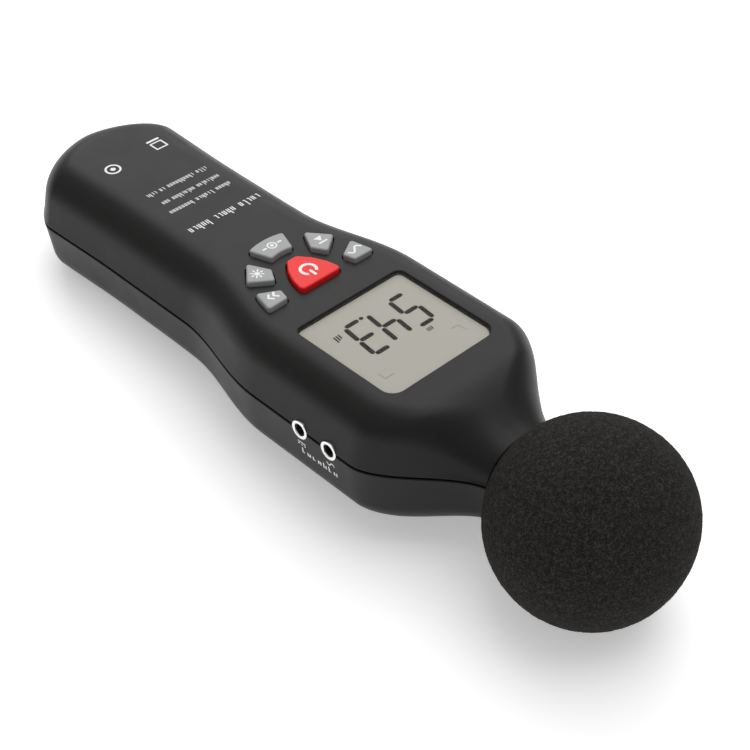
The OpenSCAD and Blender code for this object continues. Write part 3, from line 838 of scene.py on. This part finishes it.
# ---------------------------------------------------------------- microphone
def microphone():
    """Barrel with a joint groove, and the rubber seal round it in the neck."""
    barrel = [(MIC_R - 0.7, 0), (MIC_R - 0.15, 0), (MIC_R, 0.15), (MIC_R, 20), (MIC_R - 0.12, 20.1),
              (MIC_R - 0.12, 20.5), (MIC_R, 20.6), (MIC_R, 24.8), (MIC_R - 0.2, 25), (MIC_R - 0.2, 25.4),
              (MIC_R, 25.6), (MIC_R, MIC_HIGH[1] - MIC_LOW[1]), (MIC_R - 0.7, MIC_HIGH[1] - MIC_LOW[1])]
    tube = mesh_object("microphone_tube", *lathe(barrel, (0, MIC_LOW[1], MIC_Z), "Y", 96), "aluminium", 25)
    finished(tube, "meter", "aluminium", "microphone_barrel")
    depth = COLLAR_HIGH[1] - COLLAR_Y
    seal = [(MIC_R, 0), (COLLAR_R - 0.3, 0), (COLLAR_R, 0.3), (COLLAR_R, depth - 0.4),
            (COLLAR_R - 0.4, depth), (MIC_R + 0.5, depth), (MIC_R, depth - 0.5)]
    finished(mesh_object("microphone_seal", *lathe(seal, (0, COLLAR_Y, MIC_Z), "Y", 96), "soft_rubber", 25),
             "meter", "soft_rubber", "microphone_collar")


microphone()


# ---------------------------------------------------------------- back
def door():
    """Door plate with grip grooves, and the hinge along its front edge."""
    edge = DOOR_HIGH[1]
    knuckle = (DOOR_HIGH[2] - DOOR_LOW[2]) / 2
    half, hinge_y, hinge_z = DOOR_HALF - DOOR_GAP, edge - knuckle, DOOR_LOW[2] + knuckle
    outline = rounded([(-half, DOOR_LOW[1]), (half, DOOR_LOW[1]), (half, hinge_y), (-half, hinge_y)],
                      [1.8, 1.8, 0, 0])
    plate = mesh_object("battery_door_plate", *stack(outline, plate_edges(0, DOOR_LOW[2], DOOR_HIGH[2], 0.2)),
                        "case_plastic", 30)
    for k in range(5):
        y = DOOR_LOW[1] + 6.2 + k * 2
        groove = lathe([(0, -6), (0.45, -5.6), (0.45, 5.6), (0, 6)], (0, y, DOOR_LOW[2]), "X", 24)
        combine(plate, cutter(groove))
    pin = [(0, -half - 1.4), (0.5, -half - 1.4), (0.6, -half - 1.3), (0.6, -half), (knuckle - 0.1, -half),
           (knuckle, -half + 0.1), (knuckle, half - 0.1), (knuckle - 0.1, half), (0.6, half),
           (0.6, half + 1.3), (0.5, half + 1.4), (0, half + 1.4)]
    combine(plate, mesh_object("hinge", *lathe(pin, (0, hinge_y, hinge_z), "X", 48), "case_plastic"), "UNION")
    finished(plate, "battery_door", "case_plastic", "battery_door")


def battery():
    """9 V cell: jacket with rolled ends, two snap terminals, a printed band and its signs."""
    low, high = node_box("battery")
    shoulder = high[1] - 2.8
    ring = rounded([(low[0], low[2]), (high[0], low[2]), (high[0], high[2]), (low[0], high[2])], 2, 8)
    case = [(-0.9, low[1]), (-0.35, low[1]), (-0.1, low[1] + 0.2), (-0.1, low[1] + 0.9), (-0.3, low[1] + 1.1),
            (-0.3, low[1] + 1.3), (0, low[1] + 1.6), (0, shoulder - 1.6), (-0.3, shoulder - 1.3),
            (-0.3, shoulder - 1.1), (-0.1, shoulder - 0.9), (-0.1, shoulder - 0.2), (-0.35, shoulder),
            (-0.9, shoulder)]
    jacket = mesh_object("battery_jacket", *stack(ring, case, "Y"), "battery_jacket", 35)
    middle_z = (low[2] + high[2]) / 2
    stud = [(0, -0.5), (2.9, -0.5), (2.9, 2.4), (2.6, 2.8), (2.0, 2.8), (1.8, 1.2), (0, 1.2)]
    cup = [(0, -0.5), (3.8, -0.5), (3.8, 0.4), (3.2, 0.9), (3.4, 2.6), (3.7, 2.8), (3.0, 2.8), (2.7, 1.0),
           (0, 1.0)]
    for x, profile in ((6.35, stud), (-6.35, cup)):
        post = mesh_object("terminal", *lathe(profile, (x, shoulder, middle_z), "Y", 48), "battery_jacket")
        combine(jacket, post, "UNION")
    finished(jacket, "meter", "battery_jacket", "battery")
    band = [(0.02, low[1] + 8), (0.05, low[1] + 8.05), (0.05, low[1] + 30), (0.02, low[1] + 30.05)]
    inner = [(-0.05, low[1] + 30.05), (-0.05, low[1] + 8)]
    sleeve = stack(ring, band + inner + [band[0]], "Y")
    n = len(ring)
    sleeve = (sleeve[0][:-n], [tuple(i % (n * (len(band) + 2)) for i in f) for f in sleeve[1] if len(f) == 4])
    finished(mesh_object("battery_label", *sleeve, "jacket_band", 30), "meter", "battery_jacket")
    bottom = low[2] - 0.05
    sign_y = low[1] + 38
    signs = [capsule((5, sign_y), (7.6, sign_y), 0.3), capsule((6.3, sign_y - 1.3), (6.3, sign_y + 1.3), 0.3),
             capsule((-7.6, sign_y), (-5, sign_y), 0.3)]
    parts = [stack(o, [(0, bottom), (0, low[2] + 0.02)]) for o in signs]
    finished(mesh_object("battery_signs", *merged(*parts), "jacket_band", 30), "meter", "battery_jacket")


def pad():
    """Foam cushion that holds the battery, with an uneven crowned face."""
    low, high = node_box("battery_pad")
    piece = mesh_object("battery_cushion", *soft_box(low, high, 0.5, 40), "pad", 60)
    for v in piece.data.vertices:
        p = v.co / MM
        v.co.z += (0.05 * noise.noise(p * 0.5) - 0.05 * math.copysign(1, p.z - (low[2] + high[2]) / 2)) * MM
    finished(piece, "meter", "pad", "battery_pad")


def insert():
    """Brass bush of the tripod socket, its thread cut as rings."""
    pitch, root, crest = 1.27, 3.175, 2.75
    thread = []
    for k in range(6):
        z = 0.35 + k * pitch
        thread += [(root, z), (root, z + 0.1), (crest, z + 0.55), (crest, z + 0.72), (root, z + 1.17)]
    profile = [(root + 0.3, 0), (4.6, 0), (4.8, 0.2), (4.8, 7.8), (4.6, 8), (root, 8)] + thread[::-1]
    finished(mesh_object("tripod_bush", *lathe(profile, (0, 0, 0), "Z", 72), "brass", 25), "meter", "brass",
             "tripod_insert")


door()
battery()
pad()
insert()

# ---------------------------------------------------------------- carried-over nodes
SLOTS = {s["node"]: s["material_slot"] for s in frame["record"]["subparts"]}
EDGED = ("lcd_holder", "backlight_diffuser", "elastomer_strip", "battery_snap", "main_chip", "amplifier_chip",
         "calibration_trimmer")
for node_name, node in NODES.items():
    node.data.materials.clear()
    node.data.materials.append(M[SLOTS[node_name]])
    if node_name in EDGED:
        edge = node.modifiers.new("edge", "BEVEL")
        edge.width, edge.segments = 0.15 * MM, 2
        edge.limit_method, edge.angle_limit = "ANGLE", math.radians(50)

# ---------------------------------------------------------------- stage
# The meter leans on the ball and on its heel, so the floor is the plane that touches both
HEEL_FOOT = 1.5
HEEL_Y, HEEL_Z = REAR_Y + HEEL_FOOT + HANDLE_BACK_R, HANDLE_BACK_R
dy, dz, dr = BALL_Y - HEEL_Y, MIC_Z - HEEL_Z, BALL_R - HEEL_Z
slope = math.atan2(dz, dy) - math.asin(dr / math.hypot(dy, dz))
down = Vector((0, math.sin(slope), -math.cos(slope)))
touch = (Vector((0, BALL_Y, MIC_Z)) + down * BALL_R) * MM
floor_mesh = bpy.data.meshes.new("floor")
floor_mesh.from_pydata([(-4, -4, 0), (4, -4, 0), (4, 4, 0), (-4, 4, 0)], [], [(0, 1, 2, 3)])
floor = bpy.data.objects.new("floor", floor_mesh)
bpy.context.scene.collection.objects.link(floor)
floor.rotation_euler = (slope, 0, 0)
floor.location = touch
light_table = material("floor", (0.94, 0.94, 0.94), rough=0.6, mottle=0.01, mottle_mm=60, grain_mm=2,
                       bump=0.01)
table_shader = light_table.node_tree.nodes["Principled BSDF"].inputs
table_shader["Emission Color"].default_value = (1, 1, 1, 1)
table_shader["Emission Strength"].default_value = 0.36
floor_mesh.materials.append(light_table)

scene = bpy.context.scene
scene.view_settings.view_transform = "Standard"
world = bpy.data.worlds.new("studio")
world.use_nodes = True
sky, wires = world.node_tree.nodes, world.node_tree.links
direction = sky.new("ShaderNodeTexCoord")
split = sky.new("ShaderNodeSeparateXYZ")
wires.new(direction.outputs["Generated"], split.inputs["Vector"])
fade = sky.new("ShaderNodeMapRange")
fade.interpolation_type = "SMOOTHSTEP"
fade.inputs["From Min"].default_value = -0.1
fade.inputs["From Max"].default_value = 0.8
fade.inputs["To Min"].default_value = 0.2
fade.inputs["To Max"].default_value = 0.5
wires.new(split.outputs["Z"], fade.inputs["Value"])
wires.new(fade.outputs["Result"], sky["Background"].inputs["Strength"])
sky["Background"].inputs["Color"].default_value = (1, 1, 1, 1)
scene.world = world


def area_light(name, place, target, size, power):
    """Square light of the given size in metres, aimed at target."""
    data = bpy.data.lights.new(name, "AREA")
    data.size = size
    data.energy = power
    lamp = bpy.data.objects.new(name, data)
    scene.collection.objects.link(lamp)
    lamp.location = place
    lamp.rotation_euler = (Vector(target) - Vector(place)).to_track_quat("-Z", "Y").to_euler()


area_light("overhead", (-0.2, 0.15, 0.9), (0, 0, 0), 0.8, 3.3)
area_light("behind", (-0.47, -0.5, 0.6), (0, 0, 0), 0.9, 3.8)

CAM_AZ, CAM_EL, CAM_ROLL = 136.57, 40.82, -0.51
CAM_DIST = 0.49813
CAM_AIM = Vector((4.06, 35.69, 21.58)) * MM
FOCAL_PX = 1700
IMAGE_PX = 750
az, el, roll = (math.radians(a) for a in (CAM_AZ, CAM_EL, CAM_ROLL))
back = Vector((math.sin(az) * math.cos(el), -math.cos(az) * math.cos(el), math.sin(el)))
right = Vector((math.cos(az), math.sin(az), 0))
up = back.cross(right)
right, up = right * math.cos(roll) + up * math.sin(roll), up * math.cos(roll) - right * math.sin(roll)
camera = bpy.data.objects.new("camera", bpy.data.cameras.new("camera"))
scene.collection.objects.link(camera)
turn = Matrix((right, up, back)).transposed().to_4x4()
camera.matrix_world = Matrix.Translation(CAM_AIM + back * CAM_DIST) @ turn
camera.data.sensor_width = 36
camera.data.lens = FOCAL_PX / IMAGE_PX * 36
camera.data.clip_start = 0.01
scene.camera = camera
